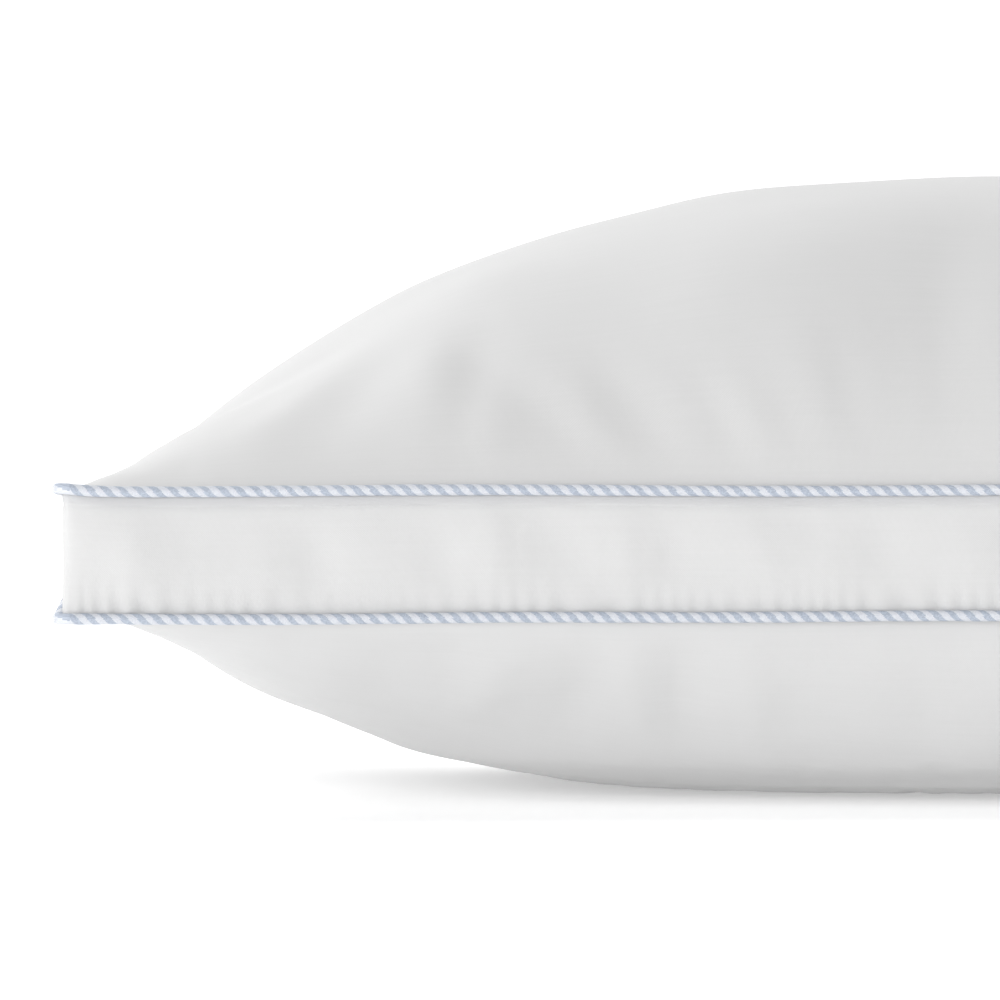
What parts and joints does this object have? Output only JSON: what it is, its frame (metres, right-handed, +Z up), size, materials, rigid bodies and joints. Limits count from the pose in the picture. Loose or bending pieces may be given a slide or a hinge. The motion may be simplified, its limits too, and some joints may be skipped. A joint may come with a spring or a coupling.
{
  "type": "bed pillow",
  "caption": "Plump rectangular bed pillow with a gusset between its two panels and striped corded piping round both seams.",
  "frame": {"origin": "under the middle of the pillow, on the surface that it rests on", "axes": "+X along the length, +Y across the width towards the side with the care label, +Z up through the crown"},
  "size_m": [0.7572, 0.4822, 0.2615],
  "materials": {
    "shell_cotton": "plain white percale cotton, matt with a faint sheen",
    "striped_piping_cotton": "bias-cut woven cotton, pale blue diagonal stripes on white",
    "filler_cord": "undyed twisted cotton cord",
    "sewing_thread": "white polyester thread",
    "polyester_fibre": "lofted polyester fibre",
    "label_tape": "blank satin-woven tape"
  },
  "bodies": {
    "root": {"top_panel": "shell_cotton", "bottom_panel": "shell_cotton", "gusset_strip_front": "shell_cotton", "gusset_strip_back": "shell_cotton", "upper_piping_cover": "striped_piping_cotton", "lower_piping_cover": "striped_piping_cotton", "upper_piping_cord": "filler_cord", "lower_piping_cord": "filler_cord", "upper_seam_stitching": "sewing_thread", "lower_seam_stitching": "sewing_thread", "gusset_join_stitching": "sewing_thread", "fibre_fill": "polyester_fibre", "care_label": "label_tape"}
  },
  "joints": []
}
